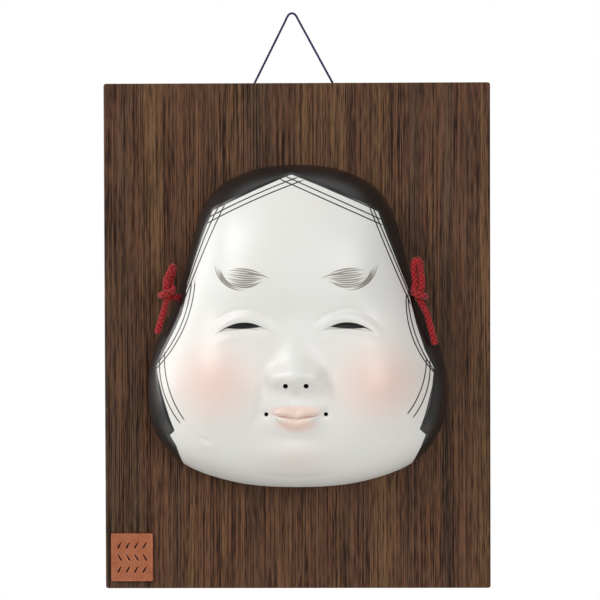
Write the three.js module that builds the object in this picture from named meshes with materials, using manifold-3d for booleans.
// Okame mask on a wooden board, made to hang on a wall.
// Millimetres. +Z is up, the front faces -Y, and the origin is the middle of the board's back.

import * as THREE from 'three';
import { mergeVertices } from 'three/addons/utils/BufferGeometryUtils.js';
import Module from 'manifold-3d';

const wasm = await Module();
wasm.setup();

// Gap between pieces that touch
const REST_GAP = 0.3;

// Cords
const TIE_CORD_DIAMETER = 3;
const HANGING_CORD_DIAMETER = 1.2;
const KNOT_DIAMETER = 3.4;

// Board
const BOARD_WIDTH = 206;
const BOARD_HEIGHT = 270;
const BOARD_THICKNESS = 12;
const BOARD_CORNER = 0.7;
const BOARD_CHAMFER = 0.6;

// Mask: a pear-shaped shell, its bulge measured from its back rim
const MASK_WIDTH = 160;
const MASK_HEIGHT = 172;
const MASK_BULGE = 46;
const MASK_WALL = 4;
const MASK_LIFT = 5.5;
const MASK_FULLNESS = 3.1;
const MASK_SHOULDER = 0.52;
const HAIR_RAISE = 1.8;
const HAIR_STEP = 1.6;
const INNER_SOFTNESS = 0.75;
const OUTER_FADE = 8;
const INNER_FADE = 4;

// Holes through the mask
const NOSTRIL_DIAMETER = 2.6;
const MOUTH_HOLE_DIAMETER = 2.2;
const EAR_HOLE_CLEARANCE = 1.1;
const EAR_HOLE_DIAMETER = TIE_CORD_DIAMETER + 2 * EAR_HOLE_CLEARANCE;
const EAR_HOLE_DEPTH = 13;

// Name plate
const PLATE_WIDTH = 22.5;
const PLATE_HEIGHT = 25.8;
const PLATE_THICKNESS = 1.6;
const PLATE_CORNER = 0.8;
const PLATE_CHAMFER = 0.35;
const PLATE_SIDE_MARGIN = 3;
const PLATE_FOOT_MARGIN = 4;
const STROKE_WIDTH = 0.9;
const STROKE_DEPTH = 0.4;
const STROKE_ROWS = 3;
const STROKES_IN_ROW = 4;
const STROKE_LEAN = 0.5;
const STROKE_SHARE = 0.55;

// Screw eyes, each standing in a groove of the board's back
const EYE_WIRE = 1.3;
const EYE_CLEARANCE = 0.6;
const EYE_BORE = HANGING_CORD_DIAMETER + 2 * EYE_CLEARANCE;
const EYE_RING = EYE_BORE + 2 * EYE_WIRE;
const EYE_NECK = 0.9;
const GROOVE_CLEARANCE = 1.9;
const GROOVE_WIDTH = EYE_RING + 2 * GROOVE_CLEARANCE;
const GROOVE_DEPTH = EYE_NECK + EYE_RING + REST_GAP;
const PILOT_TIP = 0.4;
const FRONT_SKIN = 1;
const EYE_THREAD = BOARD_THICKNESS - GROOVE_DEPTH - PILOT_TIP - FRONT_SKIN;
const KNOT_DROP = EYE_WIRE / 2 + KNOT_DIAMETER / 2 + REST_GAP;

// Places that follow from the sizes
const HALF_WIDTH = MASK_WIDTH / 2;
const HALF_HEIGHT = MASK_HEIGHT / 2;
const BOARD_FRONT = -BOARD_THICKNESS;
const MASK_BACK = BOARD_FRONT - REST_GAP;

// Colours and finishes
const wood = new THREE.MeshStandardMaterial({ color: 0x4b372b, roughness: 0.6, metalness: 0 });
const glaze = new THREE.MeshStandardMaterial({ color: 0xe4e3df, roughness: 0.35, metalness: 0 });
const copper = new THREE.MeshStandardMaterial({ color: 0xa56246, roughness: 0.4, metalness: 0.9 });
const redBraid = new THREE.MeshStandardMaterial({ color: 0xb3151c, roughness: 0.8, metalness: 0 });
const navyCord = new THREE.MeshStandardMaterial({ color: 0x28234b, roughness: 0.8, metalness: 0 });
const brass = new THREE.MeshStandardMaterial({ color: 0xb08d4a, roughness: 0.35, metalness: 1 });

// Solids: a closed geometry becomes a solid to join or cut, and comes back as a geometry

function solidOf(geometry) {
  const bare = geometry.clone();
  bare.deleteAttribute('normal');
  bare.deleteAttribute('uv');
  const merged = mergeVertices(bare, 1e-4);
  const vertProperties = new Float32Array(merged.attributes.position.array);
  const triVerts = new Uint32Array(merged.index.array);
  return new wasm.Manifold(new wasm.Mesh({ numProp: 3, vertProperties, triVerts }));
}

function geometryOf(solid) {
  const mesh = solid.getMesh();
  const geometry = new THREE.BufferGeometry();
  geometry.setAttribute('position', new THREE.BufferAttribute(mesh.vertProperties, 3));
  geometry.setIndex(new THREE.BufferAttribute(mesh.triVerts, 1));
  geometry.computeVertexNormals();
  return geometry;
}

function named(name, geometry, material) {
  const mesh = new THREE.Mesh(geometry, material);
  mesh.name = name;
  return mesh;
}

// A rectangle with round corners about the origin, drawn in the XY plane
function roundedRectangle(width, height, radius) {
  const x = width / 2 - radius;
  const y = height / 2 - radius;
  const shape = new THREE.Shape();
  shape.absarc(x, -y, radius, -Math.PI / 2, 0);
  shape.absarc(x, y, radius, 0, Math.PI / 2);
  shape.absarc(-x, y, radius, Math.PI / 2, Math.PI);
  shape.absarc(-x, -y, radius, Math.PI, 1.5 * Math.PI);
  return shape;
}

// A flat slab with chamfered edges, standing in the XZ plane from y = back forward to y = back - thickness
function slab(width, height, radius, thickness, chamfer, back) {
  const shape = roundedRectangle(width - 2 * chamfer, height - 2 * chamfer, radius);
  const geometry = new THREE.ExtrudeGeometry(shape, {
    depth: thickness - 2 * chamfer,
    bevelEnabled: true,
    bevelThickness: chamfer,
    bevelSize: chamfer,
    bevelSegments: 1,
    curveSegments: 3,
  });
  geometry.translate(0, 0, chamfer);
  geometry.rotateX(Math.PI / 2);
  geometry.translate(0, back, 0);
  return geometry;
}

// A round rod of the given radius between two points
function rod(from, to, radius, sides = 12) {
  const along = to.clone().sub(from);
  const geometry = new THREE.CylinderGeometry(radius, radius, along.length(), sides);
  const turn = new THREE.Quaternion().setFromUnitVectors(
    new THREE.Vector3(0, 1, 0),
    along.clone().normalize(),
  );
  geometry.applyQuaternion(turn);
  geometry.translate(...from.clone().add(to).multiplyScalar(0.5).toArray());
  return geometry;
}

// A round cord along a smooth curve through the points
function cordTube(points, diameter, steps) {
  const section = new THREE.Shape();
  section.absarc(0, 0, diameter / 2, 0, 2 * Math.PI);
  const path = new THREE.CatmullRomCurve3(points, false, 'centripetal');
  return new THREE.ExtrudeGeometry(section, {
    steps,
    bevelEnabled: false,
    curveSegments: 4,
    extrudePath: path,
  });
}

// Hanging cord and screw eyes: the cord rises from its left knot, bends over the nail and comes down
// to its right knot. Points are [across, up] from the middle of the board's top edge.

const HANGING_ROUTE = [
  [-30.6, -15.4], [-24.1, -2.4], [-17.6, 10.6], [-11.1, 23.6], [-6.5, 32.8], [-4.7, 36.4], [-3.8, 37.4],
  [-2.5, 37.8], [-1.3, 37.5], [-0.4, 36.6], [1.7, 32.8], [6.8, 23.4], [13.8, 10.5], [20.8, -2.4],
  [27.8, -15.3],
];
const HANGING_STEPS = 40;

const hangingLine = HANGING_ROUTE.map(([across, up]) => new THREE.Vector2(across, up + BOARD_HEIGHT / 2));
const eyeY = -GROOVE_DEPTH + EYE_NECK + EYE_RING / 2;

// The knot at one end of the cord, the cord's direction down to it, and the eye that it is pulled up to
function cordEnd(knot, next) {
  const down = knot.clone().sub(next).normalize();
  const eye = knot.clone().addScaledVector(down, -KNOT_DROP);
  return { down, eye, knot };
}

const sides = {
  left: cordEnd(hangingLine[0], hangingLine[1]),
  right: cordEnd(hangingLine[hangingLine.length - 1], hangingLine[hangingLine.length - 2]),
};

function makeScrewEye({ down, eye }) {
  const ringRadius = (EYE_BORE + EYE_WIRE) / 2;
  const ring = new THREE.TorusGeometry(ringRadius, EYE_WIRE / 2, 8, 16);
  ring.applyQuaternion(
    new THREE.Quaternion().setFromUnitVectors(
      new THREE.Vector3(0, 0, 1),
      new THREE.Vector3(down.x, 0, down.y),
    ),
  );
  ring.translate(eye.x, eyeY, eye.y);
  const neckTop = new THREE.Vector3(eye.x, eyeY - ringRadius, eye.y);
  const threadTip = new THREE.Vector3(eye.x, -GROOVE_DEPTH - EYE_THREAD, eye.y);
  return geometryOf(solidOf(ring).add(solidOf(rod(neckTop, threadTip, EYE_WIRE / 2, 10))));
}

// The groove runs in line with the cord from round the knot below the eye out through the top edge
function makeGroove({ down, knot }) {
  const radius = GROOVE_WIDTH / 2;
  const shape = new THREE.Shape();
  shape.absarc(0, 0, radius, Math.PI, 2 * Math.PI);
  const beyondEdge = BOARD_HEIGHT / 2 - knot.y + 2 * GROOVE_WIDTH;
  shape.lineTo(radius, beyondEdge);
  shape.lineTo(-radius, beyondEdge);
  const geometry = new THREE.ExtrudeGeometry(shape, {
    depth: 2 * GROOVE_DEPTH,
    bevelEnabled: false,
    curveSegments: 8,
  });
  geometry.rotateX(Math.PI / 2);
  geometry.translate(0, GROOVE_DEPTH, 0);
  geometry.rotateY(Math.atan2(-down.x, -down.y));
  geometry.translate(knot.x, 0, knot.y);
  return geometry;
}

function makePilotHole({ eye }) {
  const top = new THREE.Vector3(eye.x, -GROOVE_DEPTH / 2, eye.y);
  const tip = new THREE.Vector3(eye.x, -GROOVE_DEPTH - EYE_THREAD - PILOT_TIP, eye.y);
  return rod(top, tip, EYE_WIRE / 2 + REST_GAP, 12);
}

function makeHangingCord() {
  const points = hangingLine.map((point) => new THREE.Vector3(point.x, eyeY, point.y));
  let solid = solidOf(cordTube(points, HANGING_CORD_DIAMETER, HANGING_STEPS));
  for (const end of [points[0], points[points.length - 1]]) {
    const knot = new THREE.SphereGeometry(KNOT_DIAMETER / 2, 8, 6);
    knot.translate(...end.toArray());
    solid = solid.add(solidOf(knot));
  }
  return geometryOf(solid);
}

function makeBoard() {
  let solid = solidOf(
    slab(BOARD_WIDTH, BOARD_HEIGHT, BOARD_CORNER, BOARD_THICKNESS, BOARD_CHAMFER, 0),
  );
  for (const side of Object.values(sides)) {
    solid = solid.subtract(solidOf(makeGroove(side)));
    solid = solid.subtract(solidOf(makePilotHole(side)));
  }
  return geometryOf(solid);
}

// Name plate, with rows of short slanting strokes

function makePlate() {
  let solid = solidOf(
    slab(PLATE_WIDTH, PLATE_HEIGHT, PLATE_CORNER, PLATE_THICKNESS, PLATE_CHAMFER, 0),
  );
  const rowPitch = PLATE_HEIGHT / (STROKE_ROWS + 1);
  const strokePitch = PLATE_WIDTH / (STROKES_IN_ROW + 1);
  for (let row = 0; row < STROKE_ROWS; row += 1) {
    const lean = row % 2 ? -STROKE_LEAN : STROKE_LEAN;
    for (let index = 0; index < STROKES_IN_ROW; index += 1) {
      const stroke = new THREE.BoxGeometry(STROKE_WIDTH, 2 * STROKE_DEPTH, rowPitch * STROKE_SHARE);
      stroke.rotateY(lean);
      stroke.translate(
        (index - (STROKES_IN_ROW - 1) / 2) * strokePitch,
        -PLATE_THICKNESS,
        (row - (STROKE_ROWS - 1) / 2) * rowPitch,
      );
      solid = solid.subtract(solidOf(stroke));
    }
  }
  return geometryOf(solid);
}

// Mask. Places on it are shares of its half width (across) and half height (up) from its middle.

// The right half of the outline, from the crown down to the chin
const OUTLINE = [
  [0, 1], [0.3, 0.965], [0.52, 0.86], [0.635, 0.71], [0.71, 0.48], [0.775, 0.26],
  [0.86, 0.05], [0.955, -0.15], [1, -0.39], [0.95, -0.65], [0.78, -0.84], [0.43, -0.965], [0, -1],
];

// The hair's edge: from the left jaw up over its notch, cheek, ear and temple to the crown, and down again
const HAIRLINE = [
  [-0.76, -0.84], [-0.793, -0.721], [-0.834, -0.654], [-0.798, -0.624], [-0.828, -0.553],
  [-0.88, -0.4], [-0.925, -0.24], [-0.864, -0.131], [-0.792, 0.002], [-0.752, 0.085],
  [-0.729, 0.176], [-0.721, 0.265], [-0.652, 0.464], [-0.58, 0.64], [-0.549, 0.715],
  [-0.446, 0.758], [-0.264, 0.838], [-0.032, 0.934], [0.146, 0.865], [0.399, 0.762],
  [0.535, 0.705], [0.568, 0.619], [0.638, 0.451], [0.732, 0.235], [0.757, 0.125],
  [0.786, 0.014], [0.837, -0.133], [0.9, -0.25], [0.887, -0.355], [0.837, -0.531],
  [0.803, -0.618], [0.846, -0.656], [0.817, -0.73], [0.765, -0.838],
];

// Soft forms of the face: [across, up, half width, half height, rise as a share of the bulge]
const FORMS = {
  forehead: [0, 0.51, 0.425, 0.3, 0.035],
  cheek: [0.525, -0.35, 0.275, 0.28, 0.13],
  brow: [0.35, 0.256, 0.21, 0.105, 0.026],
  eyeSocket: [0.325, 0.012, 0.188, 0.105, -0.043],
  noseRoot: [0, 0.07, 0.15, 0.116, -0.039],
  noseBall: [0, -0.273, 0.094, 0.07, 0.057],
  noseWing: [0.128, -0.293, 0.06, 0.054, 0.1],
  muzzle: [0, -0.512, 0.188, 0.14, 0.074],
  chin: [0, -0.773, 0.238, 0.105, 0.078],
};
const FINE_FORMS = {
  wingGroove: [0.208, -0.297, 0.04, 0.076, -0.024],
  upperLip: [0.045, -0.503, 0.085, 0.022, 0.043],
  lowerLip: [0.04, -0.566, 0.085, 0.033, 0.054],
  mouthCorner: [0.193, -0.512, 0.033, 0.03, -0.033],
  underLip: [0, -0.66, 0.15, 0.044, -0.037],
  upperLid: [0.338, 0.06, 0.15, 0.037, 0.041],
  lowerLid: [0.338, -0.04, 0.15, 0.035, 0.022],
};

// The nose's ridge swells from its root down to the ball and ends at its base
const RIDGE = {
  root: 0.116,
  ball: -0.302,
  base: -0.384,
  lift: 0.093,
  rise: 0.165,
  narrow: 0.07,
  wide: 0.122,
};

// Spokes run out from the hub, with rings across them that are closer together near the rim
const HUB = new THREE.Vector2(0, -0.15 * HALF_HEIGHT);
const SPOKES = 72;
const OUTER_RINGS = 25;
const INNER_RINGS = 11;
const RING_EVENNESS = 0.6;
const OUTLINE_STEPS = 720;

function bothSides(half) {
  const mirrored = half.slice(1, -1).reverse().map(([across, up]) => [-across, up]);
  return [...half, ...mirrored];
}

// Distance from the hub to the outline in every direction
function outlineReach() {
  const corners = bothSides(OUTLINE).map(
    ([across, up]) => new THREE.Vector3(across * HALF_WIDTH, up * HALF_HEIGHT, 0),
  );
  const curve = new THREE.CatmullRomCurve3(corners, true, 'centripetal');
  const polar = curve.getPoints(OUTLINE_STEPS).map((point) => {
    const x = point.x - HUB.x;
    const z = point.y - HUB.y;
    return { angle: Math.atan2(z, x), reach: Math.hypot(x, z) };
  });
  polar.sort((first, second) => first.angle - second.angle);
  return (angle) => {
    const wrapped = Math.atan2(Math.sin(angle), Math.cos(angle));
    const next = polar.findIndex((entry) => entry.angle > wrapped);
    const high = polar[next < 0 ? 0 : next];
    const low = polar[next <= 0 ? polar.length - 1 : next - 1];
    const span = (high.angle - low.angle + 2 * Math.PI) % (2 * Math.PI) || 1;
    const share = ((wrapped - low.angle + 2 * Math.PI) % (2 * Math.PI)) / span;
    return low.reach + (high.reach - low.reach) * share;
  };
}

const reachAt = outlineReach();

function formHeight(forms, x, z) {
  const across = Math.abs(x) / HALF_WIDTH;
  const up = z / HALF_HEIGHT;
  let height = 0;
  for (const [formAcross, formUp, wide, tall, rise] of Object.values(forms)) {
    const dx = (across - formAcross) / wide;
    const dz = (up - formUp) / tall;
    height += rise * MASK_BULGE * Math.exp(-dx * dx - dz * dz);
  }
  return height;
}

function ridgeHeight(x, z) {
  const up = z / HALF_HEIGHT;
  const down = THREE.MathUtils.smoothstep(RIDGE.root - up, 0, RIDGE.root - RIDGE.ball);
  const under = THREE.MathUtils.smoothstep(up - RIDGE.base, 0, RIDGE.lift);
  const half = THREE.MathUtils.lerp(RIDGE.narrow, RIDGE.wide, down) * HALF_WIDTH;
  return RIDGE.rise * MASK_BULGE * down * under * Math.exp(-((x / half) ** 2));
}

// Distance from the hair's edge, over zero in the hair
function hairDistance(x, z) {
  const edge = HAIRLINE.map(([across, up]) => [across * HALF_WIDTH, up * HALF_HEIGHT]);
  const face = [...edge, [0, -2 * HALF_HEIGHT]];
  let inFace = false;
  face.forEach(([x0, z0], index) => {
    const [x1, z1] = face[(index + 1) % face.length];
    if (z0 > z !== z1 > z && x < x0 + ((x1 - x0) * (z - z0)) / (z1 - z0)) {
      inFace = !inFace;
    }
  });
  let nearest = Infinity;
  const point = new THREE.Vector2(x, z);
  edge.slice(1).forEach(([x1, z1], index) => {
    const from = new THREE.Vector2(...edge[index]);
    const along = new THREE.Vector2(x1, z1).sub(from);
    const share = THREE.MathUtils.clamp(point.clone().sub(from).dot(along) / along.lengthSq(), 0, 1);
    nearest = Math.min(nearest, from.addScaledVector(along, share).distanceTo(point));
  });
  return inFace ? -nearest : nearest;
}

// Height of the dome above its rim at a share of the way out from the hub
function dome(share, bulge) {
  return bulge * (1 - share ** MASK_FULLNESS) ** MASK_SHOULDER;
}

function outerHeight(x, z, share) {
  const fade = 1 - share ** OUTER_FADE;
  const hair = HAIR_RAISE * THREE.MathUtils.smoothstep(hairDistance(x, z), 0, HAIR_STEP);
  const face = formHeight(FORMS, x, z) + formHeight(FINE_FORMS, x, z) + ridgeHeight(x, z);
  return dome(share, MASK_BULGE) + fade * (face + hair);
}

// The inside follows the broad forms, a little softer
function innerHeight(x, z, share) {
  const face = formHeight(FORMS, x, z) + ridgeHeight(x, z);
  const fade = 1 - share ** INNER_FADE;
  return dome(share, MASK_BULGE - MASK_WALL) + fade * INNER_SOFTNESS * face;
}

// The shell: outer and inner skins on the same spokes, joined by the flat rim at the back
function makeMaskShell() {
  const places = [];
  const faces = [];
  const addSkin = (rings, inset, heightAt) => {
    const hub = places.length;
    places.push([HUB.x, heightAt(HUB.x, HUB.y, 0), HUB.y]);
    for (let ring = 1; ring <= rings; ring += 1) {
      const step = ring / rings;
      const crowded = Math.sin((step * Math.PI) / 2);
      const share = THREE.MathUtils.lerp(crowded, step, RING_EVENNESS);
      for (let spoke = 0; spoke < SPOKES; spoke += 1) {
        const angle = (2 * Math.PI * spoke) / SPOKES;
        const reach = share * (reachAt(angle) - inset);
        const x = HUB.x + reach * Math.cos(angle);
        const z = HUB.y + reach * Math.sin(angle);
        places.push([x, ring === rings ? 0 : heightAt(x, z, share), z]);
      }
    }
    return hub;
  };
  const at = (hub, ring, spoke) => hub + 1 + (ring - 1) * SPOKES + (spoke % SPOKES);
  const quad = (a, b, c, d) => faces.push(a, b, c, a, c, d);
  const outer = addSkin(OUTER_RINGS, 0, outerHeight);
  const inner = addSkin(INNER_RINGS, MASK_WALL, innerHeight);
  for (let spoke = 0; spoke < SPOKES; spoke += 1) {
    const next = spoke + 1;
    faces.push(outer, at(outer, 1, spoke), at(outer, 1, next));
    faces.push(inner, at(inner, 1, next), at(inner, 1, spoke));
    for (let ring = 1; ring < OUTER_RINGS; ring += 1) {
      quad(
        at(outer, ring, spoke), at(outer, ring + 1, spoke),
        at(outer, ring + 1, next), at(outer, ring, next),
      );
    }
    for (let ring = 1; ring < INNER_RINGS; ring += 1) {
      quad(
        at(inner, ring, next), at(inner, ring + 1, next),
        at(inner, ring + 1, spoke), at(inner, ring, spoke),
      );
    }
    quad(
      at(outer, OUTER_RINGS, spoke), at(inner, INNER_RINGS, spoke),
      at(inner, INNER_RINGS, next), at(outer, OUTER_RINGS, next),
    );
  }
  const positions = places.flatMap(([x, height, z]) => [x, MASK_BACK - height, z + MASK_LIFT]);
  const geometry = new THREE.BufferGeometry();
  geometry.setAttribute('position', new THREE.Float32BufferAttribute(positions, 3));
  geometry.setIndex(faces);
  return geometry;
}

// Places of the pierced holes
const NOSTRIL = { across: 0.066, up: -0.338 };
const MOUTH_CORNER = { across: 0.193, up: -0.512 };
const EAR = { up: 0.185 };

function piercing(x, z, diameter) {
  const front = new THREE.Vector3(x, MASK_BACK - 2 * MASK_BULGE, z + MASK_LIFT);
  const back = new THREE.Vector3(x, MASK_BACK, z + MASK_LIFT);
  return rod(front, back, diameter / 2, 12);
}

function earPiercing(side) {
  const y = MASK_BACK - EAR_HOLE_DEPTH;
  const z = EAR.up * HALF_HEIGHT + MASK_LIFT;
  const inside = new THREE.Vector3((side * HALF_WIDTH) / 2, y, z);
  const outside = new THREE.Vector3(side * HALF_WIDTH, y, z);
  return rod(inside, outside, EAR_HOLE_DIAMETER / 2, 12);
}

function makeMask() {
  let solid = solidOf(makeMaskShell());
  for (const side of [-1, 1]) {
    const nostrilX = side * NOSTRIL.across * HALF_WIDTH;
    const cornerX = side * MOUTH_CORNER.across * HALF_WIDTH;
    solid = solid
      .subtract(solidOf(piercing(nostrilX, NOSTRIL.up * HALF_HEIGHT, NOSTRIL_DIAMETER)))
      .subtract(solidOf(piercing(cornerX, MOUTH_CORNER.up * HALF_HEIGHT, MOUTH_HOLE_DIAMETER)))
      .subtract(solidOf(earPiercing(side)));
  }
  return geometryOf(solid);
}

// Tie cords: each comes out of its ear hole, wraps round itself, rises in a loop and hangs down as a tail.
// Points are [out from the mask, forward, up] from the ear hole, where the cord leaves the mask.

const LEFT_TIE_ROUTE = [
  [-5.3, -0.3, -0.1], [-1, 0, -0.1], [2.2, 0.1, -0.2], [4.6, 0, -0.1], [7.2, 0.2, 0.2],
  [8.9, 1.2, 0.6], [9.5, 3.1, 1], [8.6, 5.3, 1.4], [6.4, 6.2, 2], [4.2, 5.3, 2.7], [3.3, 3.1, 3.4],
  [3.4, 1, 4.6], [4.6, 0.2, 6.6], [4.4, 0.1, 9], [3.5, 0.2, 11.8], [2.9, 0.4, 14.2], [2.9, 0.9, 15.6],
  [3.1, 2, 16.2], [3.5, 3.1, 15.6], [4, 3.6, 14.2], [5.2, 3.6, 12], [6.4, 3.4, 9], [6.8, 3.2, 6.2],
  [6.5, 3.1, 3], [6.3, 3.1, 0.2], [6.6, 3.2, -2.4], [7.5, 3.2, -5.8], [8.8, 3.2, -10.2],
  [10.2, 3.1, -14.6], [11.7, 3.1, -19.2],
];
const RIGHT_TIE_ROUTE = [
  [-5.3, 0, 0], [-1.2, 0, 0], [1.6, 0.8, 0], [4, 2.7, 0], [5.4, 5.2, 0.1], [4.8, 7.9, 0.4],
  [2.4, 9.2, 0.8], [-0.1, 8.2, 1.6], [-0.8, 6.2, 3], [-0.2, 5.5, 5], [0.3, 5.4, 7.2], [-0.2, 5.3, 11],
  [-0.5, 5.4, 15], [-0.5, 5.4, 17.5], [0.1, 5.5, 18.8], [1.2, 5.8, 19.3], [2.3, 6.1, 18.8],
  [2.9, 6.3, 17.5], [3, 6.4, 15], [3.4, 6.5, 11], [3.9, 6.4, 7.4], [3.5, 6.3, 4.2], [2.4, 6.1, 1.4],
  [2.2, 6.1, -0.2], [2.5, 6.1, -1.8], [3.4, 6.2, -3.6], [4.8, 6.3, -6], [6.5, 6.5, -9.6],
  [7.9, 6.9, -14.8], [9.1, 7.3, -19.6], [10.5, 7.8, -25.3],
];
const TIE_STEPS = 60;

// Where the middle of the ear hole meets the mask's side
function earPoint() {
  const z = EAR.up * HALF_HEIGHT;
  let x = HALF_WIDTH;
  while (x > 0) {
    const angle = Math.atan2(z - HUB.y, x - HUB.x);
    const share = Math.hypot(x - HUB.x, z - HUB.y) / reachAt(angle);
    if (share < 1 && outerHeight(x, z, share) > EAR_HOLE_DEPTH) {
      break;
    }
    x -= 0.05;
  }
  return new THREE.Vector3(x, MASK_BACK - EAR_HOLE_DEPTH, z + MASK_LIFT);
}

function makeTieCord(route, side) {
  const ear = earPoint();
  const points = route.map(
    ([out, forward, up]) =>
      new THREE.Vector3(side * (ear.x + out), ear.y - forward, ear.z + up),
  );
  return cordTube(points, TIE_CORD_DIAMETER, TIE_STEPS);
}

const okame = new THREE.Group();
okame.add(named('backboard', makeBoard(), wood));
okame.add(named('mask', makeMask(), glaze));
okame.add(named('left_tie_cord', makeTieCord(LEFT_TIE_ROUTE, -1), redBraid));
okame.add(named('right_tie_cord', makeTieCord(RIGHT_TIE_ROUTE, 1), redBraid));

const plate = named('name_plate', makePlate(), copper);
plate.position.set(
  -BOARD_WIDTH / 2 + PLATE_SIDE_MARGIN + PLATE_WIDTH / 2,
  BOARD_FRONT - REST_GAP,
  -BOARD_HEIGHT / 2 + PLATE_FOOT_MARGIN + PLATE_HEIGHT / 2,
);
okame.add(plate);

okame.add(named('hanging_cord', makeHangingCord(), navyCord));
okame.add(named('left_screw_eye', makeScrewEye(sides.left), brass));
okame.add(named('right_screw_eye', makeScrewEye(sides.right), brass));

export default okame;
